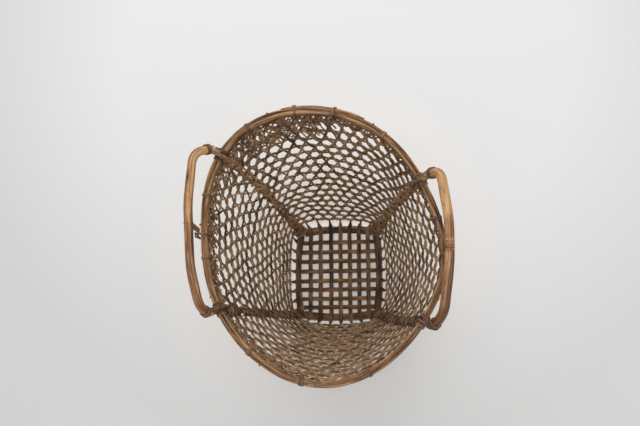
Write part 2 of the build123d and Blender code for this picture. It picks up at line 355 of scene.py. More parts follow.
STRAND = bamboo("woven_strand", (0.036, 0.017, 0.009), (0.172, 0.096, 0.047), (0.47, 0.30, 0.165),
                (0.110, 0.078, 0.054), rough=0.62, grain=1.5, patch=2.3, shine=0.3)
SLAT = bamboo("base_slat", (0.022, 0.010, 0.005), (0.110, 0.055, 0.024), (0.30, 0.165, 0.078),
              (0.050, 0.030, 0.014), rough=0.68, patch=2.4, shine=0.2)
# fade on the ribs: painted light, paler towards the back
RIB = bamboo("corner_rib", (0.034, 0.016, 0.008), (0.192, 0.102, 0.052), (0.43, 0.26, 0.135),
             (0.065, 0.046, 0.020), rough=0.55, patch=2.0, shine=0.3, fade=1.3)
HOOP = bamboo("rim_hoop", (0.055, 0.022, 0.009), (0.255, 0.120, 0.046), (0.52, 0.31, 0.145),
              (0.11, 0.040, 0.016), rough=0.48, grain=2.2, patch=2.8)
# fade on the handle rods: painted light, paler towards the back
ROD = bamboo("handle_rod", (0.075, 0.029, 0.011), (0.270, 0.116, 0.043), (0.60, 0.355, 0.165),
             (0.16, 0.052, 0.018), rough=0.40, grain=2.8, patch=1.5, bump=0.25, fade=1.8)
CANE = bamboo("binding_cane", (0.035, 0.017, 0.009), (0.140, 0.075, 0.038), (0.40, 0.275, 0.17),
              (0.075, 0.042, 0.026), rough=0.5)


# ---------------------------------------------------------------- the net of the wall
ROW_STEP_LOW, ROW_STEP_GROWTH = 13.6, 0.0335   # the rows lie closer near the base
SPLIT_LEVEL = 18.5                    # rows and cells are counted from this height
PITCH_LOW, PITCH_HIGH = 22.2, 26.5    # width of a cell near the base and under the rim
NET_FOOT = SPLIT_LEVEL + 3.5
NET_TOP = 350.0
ROWS_TOP = 322.0                      # above this the rows lie close together
LIFT = 1.15                           # how far strands pass over and under each other
TAIL = 7.0                            # how far a strand runs on behind a corner rib
DRIFT_ACROSS, DRIFT_UP = 2.0, 1.7     # how irregular the net is
STRAND_SCALE = {"back": 1.12, "left": 0.97, "front": 1.10, "right": 0.72}   # breadth of the slanting strands
# painted light: each side's slanting strands are painted paler by the amount below, most on the front, whose
# inside the key lamp lights
STRAND_PAINTED_LIGHT = {"back": 0.2, "left": 0.2, "front": 0.8, "right": 0.5}       # and how much paler they are
ROW_SCALE = {"back": 1.0, "left": 1.0, "front": 1.0, "right": 0.86}         # breadth of the rows
PANEL_LEVELS, PANEL_SAMPLES = 46, 81
ARC_RADIUS = 235.0                    # turns distances along the rim into angles


def post_angle(name, z):
    top, foot, bow = POSTS[name]
    rise = np.asarray(z, float) / RIM_TOP
    return np.radians(foot + (top - foot) * rise + bow * np.sin(np.pi * rise))


class Panel:
    """One side of the wall, with distances measured along it from its middle line."""

    def __init__(self, first, last, seed):
        self.levels = np.linspace(0, RIM_TOP, PANEL_LEVELS)
        self.tables = []
        for z in self.levels:
            a0, a1 = float(post_angle(first, z)), float(post_angle(last, z))
            if a1 < a0:
                a1 += TAU
            angles = np.linspace(a0, a1, PANEL_SAMPLES)
            p, _ = wall_point(angles, z)
            arc = np.concatenate(([0], np.cumsum(np.linalg.norm(np.diff(p, axis=0), axis=1))))
            self.tables.append((angles, arc))
        rng = np.random.RandomState(seed)
        self.waves = [(rng.uniform(-1, 1, 2) * TAU / rng.uniform(70, 190), rng.uniform(0, TAU),
                       rng.uniform(0.5, 1.0), rng.uniform(0, TAU)) for _ in range(7)]

    def width(self, z):
        """How wide the side is at one height or at several."""
        return np.interp(z, self.levels, [arc[-1] for _, arc in self.tables])

    def drift(self, x, z):
        """Slow irregular shifts shared by all strands that meet at a place."""
        dx = sum(k * np.sin(w[0] * x + w[1] * z + f) for w, f, k, _ in self.waves) * DRIFT_ACROSS
        dz = sum(k * np.sin(w[1] * x - w[0] * z + g) for w, _, k, g in self.waves) * DRIFT_UP
        fade = np.clip((z - 12) / 40, 0, 1) * np.clip((NET_TOP + 6 - z) / 60, 0, 1)
        return dx * fade, dz * fade

    def angle(self, x, z):
        """The angle round the basket at a distance from the middle line, at a height."""
        place = np.clip(z / RIM_TOP, 0, 1) * (PANEL_LEVELS - 1)
        low = np.minimum(place.astype(int), PANEL_LEVELS - 2)
        share = place - low
        out = np.empty_like(x)
        for k in np.unique(low):
            here = low == k
            below = self.angle_on_level(k, x[here])
            above = self.angle_on_level(k + 1, x[here])
            out[here] = below + (above - below) * share[here]
        return out

    def angle_on_level(self, k, x):
        angles, arc = self.tables[k]
        s = x + arc[-1] / 2
        inside = np.interp(s, arc, angles)
        before = np.minimum(s, 0) / arc[-1] * (angles[-1] - angles[0])
        after = np.maximum(s - arc[-1], 0) / arc[-1] * (angles[-1] - angles[0])
        return inside + before + after

    def point(self, x, z, out=0.0):
        x, z = np.broadcast_arrays(np.asarray(x, float), np.asarray(z, float))
        dx, dz = self.drift(x, z)
        return wall_point(self.angle(x + dx, z + dz), z + dz, out)


panels = {name: Panel(*corners, seed=11 + i) for i, (name, corners) in enumerate(PANELS.items())}


def pitch(z):
    return PITCH_LOW + (PITCH_HIGH - PITCH_LOW) * np.clip((z - SPLIT_LEVEL) / (NET_TOP - SPLIT_LEVEL), 0, 1)


def row_of(z):
    return np.log1p(ROW_STEP_GROWTH * (np.asarray(z, float) - SPLIT_LEVEL) / ROW_STEP_LOW) / ROW_STEP_GROWTH


def row_level(row):
    return SPLIT_LEVEL + ROW_STEP_LOW * math.expm1(ROW_STEP_GROWTH * row) / ROW_STEP_GROWTH


SIDE_SLATS = {"back": SLAT_X, "left": SLAT_Y, "front": SLAT_X, "right": SLAT_Y}


def panel_shift(name):
    """Where the slats' middle lies along a side, so that the net starts from them."""
    slats = SIDE_SLATS[name]
    middle = (slats[0] + slats[-1]) / 2
    return -middle if name in ("back", "left") else middle


def net_offset(name):
    return 0.5 if len(SIDE_SLATS[name]) % 2 == 0 else 0.0


def lay_diagonals(bundle, name, seed):
    """Two families of slanting strands on one side, which cross over and under each other."""
    panel = panels[name]
    rng = np.random.RandomState(seed)
    z = np.arange(NET_FOOT, NET_TOP, 2.6)
    rows = row_of(z)
    half = panel.width(z) / 2
    from_slats = panel_shift(name) * np.clip(1 - z / 150, 0, 1)
    for lean in (1, -1):
        for j in range(-34, 35):
            start = j + net_offset(name)
            across = (start + lean * rows / 2) * pitch(z) + from_slats
            across = across + wander(rng.randint(1 << 30), z, 1.3, 120.0)
            inside = np.abs(across) < half + TAIL
            if inside.sum() < 6:
                continue
            first, last = np.flatnonzero(inside)[[0, -1]]
            cut = slice(first, last + 1)
            lift = lean * LIFT * np.cos(TAU * rows[cut])
            p, n = panel.point(across[cut], z[cut], lift)
            grow = 3.9 + 1.4 * z[cut] / RIM_TOP
            width = rng.uniform(0.82, 1.2) * grow * (1 + 0.12 * np.sin(z[cut] / 23 + rng.uniform(0, TAU)))
            thick = rng.uniform(2.1, 2.7)
            tone = rng.beta(2, 2.4) + STRAND_PAINTED_LIGHT[name]
            bundle.sweep(p, n, width * STRAND_SCALE[name], thick, tone=tone)


def lay_rows(bundle):
    """Rows that run all the way round, behind the corner ribs."""
    rng = np.random.RandomState(77)
    levels = [row_level(k + 0.5) for k in range(24)]
    for k, level in enumerate([level for level in levels if level < ROWS_TOP]):
        points, normals, scale = [], [], []
        for name, panel in panels.items():
            half = panel.width(level) / 2
            x = np.arange(-half, half, pitch(level) / 7)
            cell = x / pitch(level) - net_offset(name)
            lift = LIFT * np.sin(TAU * (cell - k / 2)) * np.clip((half - np.abs(x)) / 14, 0, 1)
            p, n = panel.point(x, level + wander(900 + k, x, 1.2, 90.0), lift)
            points.append(p)
            normals.append(n)
            scale.append(np.full(len(p), ROW_SCALE[name]))
        points, normals = np.concatenate(points), np.concatenate(normals)
        wave = 0.6 * np.sin(np.arange(len(points)) / 19.0 + k)
        width = np.concatenate(scale) * rng.uniform(0.9, 1.15) * (5.0 + 0.9 * level / RIM_TOP + wave)
        bundle.sweep(points, normals, width, 2.7, closed=True, tone=0.65 * rng.beta(2, 2.4))


def lay_close_rows(bundle):
    """Three rows close together under the rim."""
    a = np.linspace(0, TAU, 330, endpoint=False)
    for k, level in enumerate((327.0, 333.5, 339.5)):
        z = level + 1.6 * np.sin(a * 7 + k) + 0.9 * np.sin(a * 23 + 2 * k)
        lift = 1.1 * np.sin(a * 64 + k * 2.1) + 0.4
        p, n = wall_point(a, z, lift)
        bundle.sweep(p, n, 3.8, 2.0, closed=True, tone=0.35 + 0.2 * k)


def lay_shade_fill_rows(bundle):
    """Further rows run between the others in the middle of the front: painted shade that closes the cells
    there, and their pale tone is painted light.
    """
    rng = np.random.RandomState(31)
    front = panels["front"]
    for k in range(2, 19):
        level = row_level(k)
        reach = min(front.width(level) / 2 - 12, 58 + 3.6 * k)
        x = np.arange(-reach * rng.uniform(0.85, 1), reach * rng.uniform(0.85, 1), 3.0)
        lift = LIFT * np.sin(TAU * x / pitch(level) * 1.5 + k)
        p, n = front.point(x, level + wander(950 + k, x, 1.0, 70.0), lift)
        bundle.sweep(p, n, rng.uniform(4.4, 6.8), 1.6, tone=rng.uniform(0.9, 1.8))


# stretches of the rim with doubled weave below them: from and to in degrees, how far down the doubled
# strands reach, how far down the short ends lie, and how many short ends there are
DENSE_STRETCHES = ((92, 140, 58, 66, 140), (140, 176, 34, 34, 50), (176, 215, 26, 26, 40),
                   (222, 262, 44, 46, 90), (300, 324, 34, 30, 30))
DENSE_LEAST = 20.0                    # how far down they reach everywhere else
DENSE_EASE = 6.0                      # degrees over which a stretch sets in
DENSE_TOP = 348.0
DENSE_SLOPE = 0.6347                  # how far the doubled strands lean for each step down
DENSE_COUNT = 190


def dense_depth(a):
    """How far below the rim the doubled weave reaches at an angle in degrees."""
    depth = DENSE_LEAST
    for low, high, deep, _, _ in DENSE_STRETCHES:
        after_low = min(max((a - low) / DENSE_EASE + 0.5, 0), 1)
        before_high = min(max((high - a) / DENSE_EASE + 0.5, 0), 1)
        depth = max(depth, DENSE_LEAST + (deep - DENSE_LEAST) * after_low * before_high)
    return depth


def lay_doubled_weave(bundle):
    """Strands turned back at the rim, which run down again between the others."""
    rng = np.random.RandomState(41)
    for i in range(DENSE_COUNT):
        a0 = TAU * (i + rng.uniform(-0.3, 0.3)) / DENSE_COUNT
        deep = dense_depth(math.degrees(a0) % 360) * rng.uniform(0.75, 1.2)
        lean = 1 if i % 2 else -1
        t = np.linspace(0, 1, max(6, int(deep / 3)))
        down = t * (deep + 12)
        lift = lean * 0.9 * np.cos(t * deep / 3.3 + rng.uniform(0, 1)) + rng.uniform(-0.5, 0.9)
        p, n = wall_point(a0 + lean * down * DENSE_SLOPE / ARC_RADIUS, DENSE_TOP - down, lift)
        bundle.sweep(p, n, rng.uniform(3.2, 4.6), 1.8, tone=rng.beta(2, 2))


def lay_short_ends(bundle):
    """Short curved ends that lie in every direction where the weave is doubled."""
    rng = np.random.RandomState(43)
    for low, high, _, deepest, count in DENSE_STRETCHES:
        for _ in range(count):
            a0 = math.radians(rng.uniform(low, high))
            z0 = 345.0 - deepest * rng.uniform(0, 1) ** 1.3
            heading = rng.choice((0.0, 1.05, -1.05)) + rng.uniform(-0.35, 0.35)
            curl = rng.uniform(-0.05, 0.05)
            t = np.linspace(-1, 1, 7) * rng.uniform(7, 14)
            turn = heading + curl * t
            z = np.minimum(z0 + t * np.sin(turn), 349.0)
            lift = rng.uniform(-1.6, 0.6) + np.cos(t / 3.0)
            p, n = wall_point(a0 + t * np.cos(turn) / ARC_RADIUS, z, lift)
            bundle.sweep(p, n, rng.uniform(3.0, 4.6), 1.5, tone=rng.beta(2, 1.6))


def build_net():
    for index, name in enumerate(PANELS):
        bundle = Bundle(100 + index)
        lay_diagonals(bundle, name, 500 + index)
        bundle.make(f"net_{name}", STRAND, replaces=("woven_wall",) if index == 0 else ())
    rows = Bundle(7)
    lay_rows(rows)
    lay_close_rows(rows)
    rows.make("net_rows", STRAND)
    shade_fill_rows = Bundle(8)
    lay_shade_fill_rows(shade_fill_rows)
    shade_fill_rows.make("net_shade_fill_rows", STRAND)
    under_rim = Bundle(9)
    lay_doubled_weave(under_rim)
    lay_short_ends(under_rim)
    under_rim.make("net_under_rim", STRAND)


# ---------------------------------------------------------------- base slats and the way up into the wall
SLAT_WIDTH = 8.9
SLAT_THICK = 1.7
SLAT_WAVE = 2.0                       # how far a slat passes over or under the others
BORDER_EDGE = 0.6                     # the borders lie this far inside the base's outline


def mat_wave(positions, crossings, first_up):
    """Height above the mat's middle at each place along a slat."""
    heights = [SLAT_WAVE if (i % 2 == 0) == first_up else -SLAT_WAVE for i in range(len(crossings))]
    xs = np.array((crossings[0] - 24, *crossings, crossings[-1] + 24))
    hs = np.array((0.0, *heights, 0.0))
    k = np.clip(np.searchsorted(xs, positions) - 1, 0, len(xs) - 2)
    t = np.clip((positions - xs[k]) / (xs[k + 1] - xs[k]), 0, 1)
    return hs[k] + (hs[k + 1] - hs[k]) * (0.5 - 0.5 * np.cos(np.pi * t))


def slat_path(axis, offset, crossings, first_up, seed):
    """A slat across the base and, at both ends, up the wall to the first row."""
    across, along = (BASE_Y, BASE_X) if axis == 0 else (BASE_X, BASE_Y)
    reach = along * (1 - abs(offset / across) ** BASE_SQUARE) ** (1 / BASE_SQUARE) - 4
    s = np.arange(-reach, reach + 0.1, 2.5)
    flat = np.zeros((len(s), 3))
    flat[:, axis] = s
    flat[:, 1 - axis] = offset + wander(seed, s, 0.5, 110.0)
    flat[:, 2] = MAT_LEVEL + mat_wave(s, crossings, first_up)
    rises = []
    for sign in (-1, 1):
        edge = np.zeros(2)
        edge[axis], edge[1 - axis] = sign * reach, offset
        a = math.atan2(edge[1], edge[0])
        rises.append([wall_point(a, z)[0] for z in (11.0, 16.0, row_level(0.5))])
    return smooth_path([*rises[0][::-1], *flat, *rises[1]], 2.2)


def strip_normals(path):
    """Normals that turn from straight up on the base to inwards on the wall."""
    tangent = np.gradient(path, axis=0)
    tangent /= np.linalg.norm(tangent, axis=1, keepdims=True)
    middle = len(path) // 2
    sideways = np.cross(np.array([0, 0, 1.0]), path[middle + 3] - path[middle - 3])
    sideways /= np.linalg.norm(sideways)
    return np.cross(tangent, sideways)


def lay_slat(node, axis, offset, crossings, first_up, seed, tone):
    path = slat_path(axis, offset, crossings, first_up, seed)
    up = np.clip((path[:, 2] - 8.2) / 4.0, 0, 1)
    width = (SLAT_WIDTH + wander(seed + 1, np.arange(len(path)) * 2.2, 0.35, 70.0)) * (1 - 0.56 * up)
    bundle = Bundle(seed)
    bundle.sweep(path, strip_normals(path), width, SLAT_THICK - 0.5 * up, section=SQUARED, tone=tone)
    bundle.make(f"slat_{node}", SLAT, replaces=(node,))


def lay_border(side, axis, sign, half, under, seed, tone):
    """A wider slat along one edge of the base: it bows outwards at its middle and is broader at its ends."""
    edge, inset, broad = (BASE_Y, 6.5, 12.8) if axis else (BASE_X, 5.5, 10.8)
    s = np.linspace(-half, half, 60)
    path = np.zeros((len(s), 3))
    path[:, 1 - axis] = s
    path[:, axis] = sign * (edge - BORDER_EDGE - inset - 4.5 * (s / half) ** 2)
    path[:, 2] = under + 0.9 + wander(seed, s, 0.15, 50.0)
    width = broad + wander(seed + 1, s, 0.5, 80.0) + 5.0 * (s / half) ** 2
    bundle = Bundle(seed)
    bundle.sweep(path, (0, 0, 1), width, SLAT_THICK, section=SQUARED, tone=tone)
    bundle.make(f"border_{side}", SLAT, replaces=(f"base_border_{side}",))


def build_base():
    rng = np.random.RandomState(5)
    for i, y in enumerate(SLAT_Y):
        lay_slat(f"base_cross_slat_{i + 1}", 0, y, SLAT_X, i % 2 == 0, 60 + i, rng.uniform(0.15, 0.75))
    for i, x in enumerate(SLAT_X):
        lay_slat(f"base_long_slat_{i + 1}", 1, x, SLAT_Y, i % 2 == 1, 80 + i, rng.uniform(0.15, 0.75))
    lay_border("right", 0, 1, 84.0, under=9.6, seed=31, tone=0.1)
    lay_border("left", 0, -1, 84.0, under=9.6, seed=33, tone=0.3)
    lay_border("back", 1, 1, 76.0, under=0.4, seed=32, tone=0.0)
    lay_border("front", 1, -1, 76.0, under=0.4, seed=34, tone=0.15)


def build_foot():
    """Two strands twisted round each other along the foot of the wall."""
    bundle = Bundle(21)
    a = np.linspace(0, TAU, 420, endpoint=False)
    for turn in (0, math.pi):
        twist = a * 46 + turn
        r = base_radius(a) + 0.9 + 0.8 * np.cos(twist)
        z = 2.2 + 0.9 * np.sin(twist)
        path = np.stack((r * np.cos(a), r * np.sin(a), z), -1)
        bundle.sweep(path, (0, 0, 1), 1.9, 1.9, section=ROUND, closed=True, tone=0.3 + 0.1 * turn)
    bundle.make("foot_course", STRAND)


# ---------------------------------------------------------------- corner ribs: knotted bundles of strips
RIB_STRIPS = 6
RIB_FOOT_TOP = 34.0                   # below this the turns are wider and closer


def around_rib(bundle, name, level, reach, deep, tilt, width, rng, inset=-3.6):
    """A turn of strip round a corner bundle, seen inside and outside the wall."""
    a = float(post_angle(name, level))
    centre, normal = wall_point(a, level, inset)
    along = np.array((-math.sin(a), math.cos(a), 0.0))
    up = np.cross(normal, along)
    q = np.linspace(0, TAU, 18, endpoint=False)
    ring = (centre + np.outer(np.cos(q) * reach, along) + np.outer(np.sin(q) * deep, normal)
            + np.outer(tilt * np.cos(q + rng.uniform(-0.4, 0.4)), up))
    bundle.sweep(ring, ring - centre, width, 1.3, closed=True, tone=rng.uniform(0.0, 1.0))


def lay_rib_strips(bundle, name, rng):
    """Strips that twist round each other up the inside of a corner."""
    z = np.concatenate((np.linspace(5.0, 40, 16), np.linspace(43, 340, 120)))
    a = post_angle(name, z)
    along = np.stack((-np.sin(a), np.cos(a), np.zeros_like(a)), -1)
    size = 7.8 - 1.8 * z / RIM_TOP + 1.4 * np.exp(-(z / 40) ** 2)
    for k in range(RIB_STRIPS):
        turn = TAU * k / RIB_STRIPS + rng.uniform(-0.3, 0.3)
        twist = z / rng.uniform(60, 84) * TAU / 2 + turn
        inset = -(4.6 + 2.6 * np.sin(2 * twist)) + wander(rng.randint(9999), z, 0.5, 40.0)
        p, n = wall_point(a, z, inset)
        p = p + along * (size * np.cos(twist) + wander(rng.randint(9999), z, 1.0, 60.0))[:, None]
        bundle.sweep(p, n, rng.uniform(4.2, 5.8) - z / RIM_TOP, 2.6, tone=rng.uniform(0.0, 0.9))


def wrap_rib(bundle, name, rng):
    """Irregular turns up the whole rib, then a knot at its foot and close turns at its top."""
    level = 12.0
    while level < HOOP_FOOT:
        at_foot = level < RIB_FOOT_TOP
        for _ in range(4 if at_foot else rng.randint(1, 4)):
            around_rib(bundle, name, level + rng.uniform(-3, 3),
                       (1.3 if at_foot else 1.0) * rng.uniform(8.5, 12) - 2.0 * level / RIM_TOP,
                       rng.uniform(4.8, 6.4), rng.uniform(-9, 9), rng.uniform(2.6, 4.6), rng)
        level += rng.uniform(9, 22)
    for level in np.linspace(5, 17, 7):
        around_rib(bundle, name, level, rng.uniform(11, 16), rng.uniform(5.5, 8.0),
                   rng.uniform(-3, 3), rng.uniform(2.8, 4.4), rng, inset=-6.0)
    for level in np.linspace(297, 337, 11):
        around_rib(bundle, name, level + rng.uniform(-2, 2), rng.uniform(7.5, 11), rng.uniform(5.0, 6.8),
                   rng.uniform(-9, 9), rng.uniform(2.8, 4.4), rng, inset=-4.6)


def build_ribs():
    for index, name in enumerate(POSTS):
        bundle = Bundle(300 + index)
        rng = np.random.RandomState(600 + index)
        lay_rib_strips(bundle, name, rng)
        wrap_rib(bundle, name, rng)
        bundle.make(f"rib_{name}", RIB, replaces=(f"corner_rib_{name}",))


# ---------------------------------------------------------------- rim
BAND = 11.4                           # width of the rim, seen from above
LAP_FROM, LAP_TO = 70.5, 106.5        # the outer hoop's lapped end, in degrees
LAP_OUT = 4.3                         # how far a tie reaches out round it
# places round the rim in degrees: ties, and cut ends of cane
TIE_ANGLES = (10, 59, 84, 101, 122, 157, 187, 237, 262, 290)
STUB_ANGLES = (30.5, 65.5, 112, 138.5, 170, 205, 213.2, 245, 321, 333)


def rim_point(a, inset, z):
    """Point at an inset from the rim's outer edge, and the outward direction."""
    a = np.asarray(a, float)
    step = 0.01
    slope = (rim_radius(a + step) - rim_radius(a - step)) / (2 * step)
    outward = a - np.arctan2(slope, rim_radius(a))
    direction = np.stack((np.cos(outward), np.sin(outward), np.zeros_like(a)), -1)
    edge = np.stack((rim_radius(a) * np.cos(a), rim_radius(a) * np.sin(a), np.zeros_like(a) + z), -1)
    return edge - direction * np.asarray(inset)[..., None], direction


def hoop_layer(bundle, inset, thick, middle, depth, seed, tone):
    """One split layer of a hoop: its height, its place across the rim and its thickness vary a little."""
    a = np.linspace(0, TAU, 220, endpoint=False)
    rng = np.random.RandomState(seed)
    waves = rng.randint(3, 6)
    lift = 0.5 * np.sin(a * waves + rng.uniform(0, TAU)) + 0.3 * np.sin(a * 11 + rng.uniform(0, TAU))
    sway = 0.12 * np.sin(a * 9 + rng.uniform(0, TAU)) + 0.10 * np.sin(a * 31 + rng.uniform(0, TAU))
    swell = 0.10 * np.sin(a * 17 + rng.uniform(0, TAU)) + 0.08 * np.sin(a * 41 + rng.uniform(0, TAU))
    thick = thick * (1 + swell)
    p, n = rim_point(a, inset + thick / 2 + sway, middle + lift)
    bundle.sweep(p, n, depth, thick, section=SQUARED, closed=True, tone=tone)


def build_hoops():
    outer = Bundle(401)
    hoop_layer(outer, 0.1, 2.4, 347.8, 23.0, seed=1, tone=0.6)
    hoop_layer(outer, 2.5, 1.9, 348.6, 20.0, seed=2, tone=0.3)
    outer.make("rim_hoop_outside", HOOP, replaces=("rim_outer_hoop",))
    inner = Bundle(402)
    hoop_layer(inner, BAND - 6.6, 2.2, 350.2, 15.0, seed=3, tone=0.25)
    hoop_layer(inner, BAND - 4.5, 2.0, 351.6, 13.0, seed=5, tone=0.5)
    hoop_layer(inner, BAND - 2.5, 2.4, 352.4, 13.6, seed=4, tone=0.7)
    inner.make("rim_hoop_inside", HOOP, replaces=("rim_inner_hoop",))


def build_lap():
    """The lapped end of the outer hoop, thinned at both ends."""
    bundle = Bundle(403)
    count = 60
    p, n = rim_point(np.linspace(math.radians(LAP_FROM), math.radians(LAP_TO), count), -2.3, 347.8)
    from_end = np.minimum(np.arange(count), count - 1 - np.arange(count))
    taper = np.clip(from_end / 5.0, 0.35, 1)
    # the lap is painted at the palest tone: painted light against the shade on the rim's top
    bundle.sweep(p, n, 20.5, 3.4 * taper, section=SQUARED, tone=1.0)
    bundle.make("rim_lap", HOOP, replaces=("rim_outer_hoop_lap",))


def cane_turn(bundle, a_deg, inner_side, outer_side, foot, top, shift=0.0, lean=0.0, width=3.0, thick=1.5,
              tone=None):
    """A turn of cane round the rim: inner and outer sides are distances out from the rim's edge."""
    base, direction = rim_point(math.radians(a_deg), 0.0, 0.0)
    along = np.array((-direction[1], direction[0], 0.0))
    gap = 0.9
    corners = ((inner_side - gap, foot - gap), (inner_side - gap, top + gap), (outer_side + gap, top + gap),
               (outer_side + gap, foot - gap))
    points = []
    for k, (out, z) in enumerate(corners):
        next_out, next_z = corners[(k + 1) % 4]
        for t in (0.12, 0.5, 0.88):
            o, h = out + (next_out - out) * t, z + (next_z - z) * t
            s = shift + lean * ((h - foot) / (top - foot) - 0.5) * (1 if k in (0, 1) else -1)
            points.append(base + direction * o + along * s + np.array((0, 0, h)))
    path = smooth_path(points, 2.0, closed=True)
    middle = base + direction * (inner_side + outer_side) / 2 + np.array((0, 0, (foot + top) / 2))
    out = path - middle
    out = out - along * (out @ along)[:, None]
    bundle.sweep(path, out, width, thick, closed=True, tone=tone)


def build_ties():
    """Two turns of cane at each tie, and cut ends of cane standing out of the rim."""
    bundle = Bundle(404)
    rng = np.random.RandomState(12)
    for angle in TIE_ANGLES:
        outer_side = LAP_OUT if LAP_FROM < angle < LAP_TO else 0.0
        for k in range(2):
            cane_turn(bundle, angle, -BAND, outer_side, HOOP_FOOT, RIM_TOP, shift=(k - 0.5) * 3.1,
                      lean=rng.uniform(-2.5, 2.5), width=rng.uniform(2.4, 3.2), thick=1.1,
                      tone=rng.uniform(0.3, 0.7))
    for angle in STUB_ANGLES:
        base, direction = rim_point(math.radians(angle + rng.uniform(-1.5, 1.5)), 1.2, RIM_TOP - 4.0)
        along = np.array((-direction[1], direction[0], 0.0))
        tilt = rng.uniform(-0.6, 0.6)
        reach = np.linspace(0, rng.uniform(5.2, 6.8), 5)[:, None]
        path = base + reach * (0.25 * direction + tilt * along + np.array((0, 0, 0.9)))
        bundle.sweep(path, direction, rng.uniform(3.0, 4.2), 1.8, tone=rng.uniform(0.0, 0.4))
    bundle.make("rim_ties_cane", CANE, replaces=("rim_ties",))


# ---------------------------------------------------------------- handles
# the tone step at a rod's node is painted light behind the node and painted shade in front of it
HANDLES = {   # ridges lie along the rod from its node, and contrast is how much its tone changes there
    "left": {
        "radius": 8.2,
        "corners": ((-229.5, 161, 402), (-231.5, 63, 415), (-222.5, -54, 414), (-208, -119, 400)),
        "bends": (38, 250, 200, 31), "node": (-228.9, 25, 414.7), "ridges": (0.0,),
        "painted_light_step": 0.0,
    },
    "right": {
        "radius": 8.6,
        "corners": ((217, 109, 402), (228, 15, 415), (225, -57, 415), (213, -140, 400)),
        "bends": (26, 250, 200, 50), "node": (226.43, -22.7, 415), "ridges": (-6.0, 0.0, 5.0),
        "painted_light_step": 0.30,
    },
}
SHOULDER_OUT, SHOULDER_UP = 13.0, 9.0   # where a rod's end bends to go over the rim
TONGUE_LOW = 296.0
TONGUE_SEEN = 0.6                     # the rest of a tongue is hidden by cane
RING_DISTANCES = (4.7, 8.1, 11.5)     # rings round a rod's end, from its shoulder
LASHING_SHIFTS = (-10.6, -7.0, 7.0, 10.6)
TONGUE_SHIFTS = (-4.6, -0.6, 3.8)     # turns over the tongue
SLING_FORWARD, SLING_HEIGHT = 10.0, 16.0
STRAP_WIDTH, STRAP_THICK = 9.5, 4.4


def shoulder(a_deg):
    return rim_point(math.radians(a_deg), -SHOULDER_OUT, RIM_TOP + SHOULDER_UP)[0]


def tongue_path(a_deg):
    """From the shoulder over the rim and down inside the wall, and the outward direction there."""
    a = math.radians(a_deg)
    base, direction = rim_point(a, 0.0, 0.0)
    in_wall = float(wall_radius(a, TONGUE_LOW, WALL_THICK) - rim_radius(a))
    beside = in_wall - 1.6 - 5.0 - 4.5
    corners = ((SHOULDER_OUT + 1.5, RIM_TOP + SHOULDER_UP + 2.0), (-RIM_BAND - 4.5, RIM_TOP + 3.2),
               (beside, TONGUE_LOW))
    corners = [base + direction * o + np.array((0, 0, h)) for o, h in corners]
    return rounded_path(corners, (5.0,), 2.0), direction


def lay_tongue(bundle, a_deg):
    path, direction = tongue_path(a_deg)
    n = np.cross(np.gradient(path, axis=0), (-direction[1], direction[0], 0.0))
    seen = slice(0, int(TONGUE_SEEN * len(path)))
    bundle.sweep(path[seen], -n[seen], 6.0, 2.8, section=SQUARED, tone=0.1)


def build_rod(side, rod, ends):
    """A bent rod with its node, from one end over the rim to the other."""
    bundle = Bundle(500 + len(side))
    over = [rim_point(math.radians(a_deg), 8.0, RIM_TOP + 7.6)[0] for a_deg in ends]
    path = rounded_path((over[0], shoulder(ends[0]), *rod["corners"], shoulder(ends[1]), over[1]),
                        (9, *rod["bends"], 9), 3.0)
    coarse = np.concatenate(([0], np.cumsum(np.linalg.norm(np.diff(path, axis=0), axis=1))))
    node_s = coarse[np.argmin(np.linalg.norm(path - np.array(rod["node"]), axis=1))]
    s = np.unique(np.concatenate((np.arange(0, coarse[-1], 3.0), node_s + np.arange(-12, 12.1, 0.5),
                                  [coarse[-1]])))
    path = np.stack([np.interp(s, coarse, path[:, k]) for k in range(3)], -1)
    radius = rod["radius"] + wander(70 + len(side), s, 0.22, 150.0)
    for ridge in rod["ridges"]:
        d = s - node_s - ridge
        radius = radius + 0.9 * np.exp(-(d / 1.1) ** 2) - 0.5 * np.exp(-((d - 2.4) / 1.0) ** 2)
    near_end = np.minimum(s, s[-1] - s)
    radius = radius * (0.62 + 0.38 * np.clip(near_end / 20.0, 0, 1) ** 0.7)
    # painted light behind the node, painted shade in front of it
    tone = 0.5 + rod["painted_light_step"] * np.tanh((node_s - s) / 5.0)   # paler behind the node than in front of it
    bundle.sweep(path, (0.15, 0.0, 1), 2 * radius, 2 * radius, section=ROUND_FINE, tone=tone[:, None])
    bundle.make(f"handle_{side}", ROD, replaces=(f"{side}_handle",))


